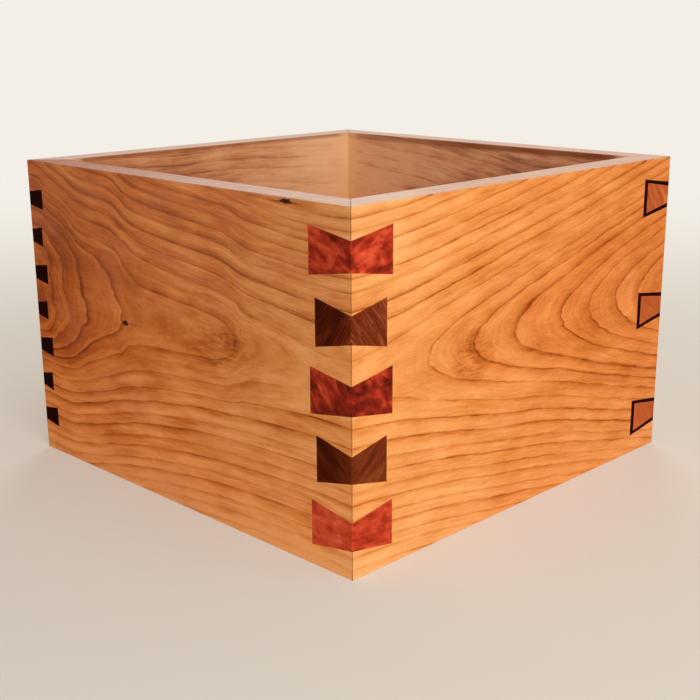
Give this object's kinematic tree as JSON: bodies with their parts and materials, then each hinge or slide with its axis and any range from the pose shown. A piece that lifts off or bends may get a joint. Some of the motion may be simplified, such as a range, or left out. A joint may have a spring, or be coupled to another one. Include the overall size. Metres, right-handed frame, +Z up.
{
  "type": "wooden box",
  "caption": "Square open wooden box with mitred cherry boards, each corner locked by contrasting dovetail keys, and a bottom panel held in a groove.",
  "frame": {"origin": "centre of the footprint, on the surface that the boards' lower edges stand on", "axes": "+Z up; -Y out of the front board, +X out of the right board"},
  "size_m": [0.1524, 0.1524, 0.1016],
  "materials": {
    "cherry": "oiled satin",
    "cherry_ply": "oiled satin",
    "red_burl": "oiled satin",
    "walnut": "oiled satin",
    "dark_wood": "oiled satin",
    "red_wood": "oiled satin"
  },
  "bodies": {
    "root": {"front_wall": "cherry", "right_wall": "cherry", "back_wall": "cherry", "left_wall": "cherry", "bottom_panel": "cherry_ply", "front_right_burl_key_1": "red_burl", "front_right_walnut_key_2": "walnut", "front_right_burl_key_3": "red_burl", "front_right_walnut_key_4": "walnut", "front_right_burl_key_5": "red_burl", "back_left_burl_key_1": "red_burl", "back_left_walnut_key_2": "walnut", "back_left_burl_key_3": "red_burl", "back_left_walnut_key_4": "walnut", "back_left_burl_key_5": "red_burl", "front_left_long_dark_key_1": "dark_wood", "front_left_short_dark_key_2": "dark_wood", "front_left_long_dark_key_3": "dark_wood", "front_left_short_dark_key_4": "dark_wood", "front_left_long_dark_key_5": "dark_wood", "front_left_short_dark_key_6": "dark_wood", "front_left_long_dark_key_7": "dark_wood", "back_right_key_surround_1": "dark_wood", "back_right_key_core_1": "red_wood", "back_right_key_surround_2": "dark_wood", "back_right_key_core_2": "red_wood", "back_right_key_surround_3": "dark_wood", "back_right_key_core_3": "red_wood"}
  },
  "joints": []
}
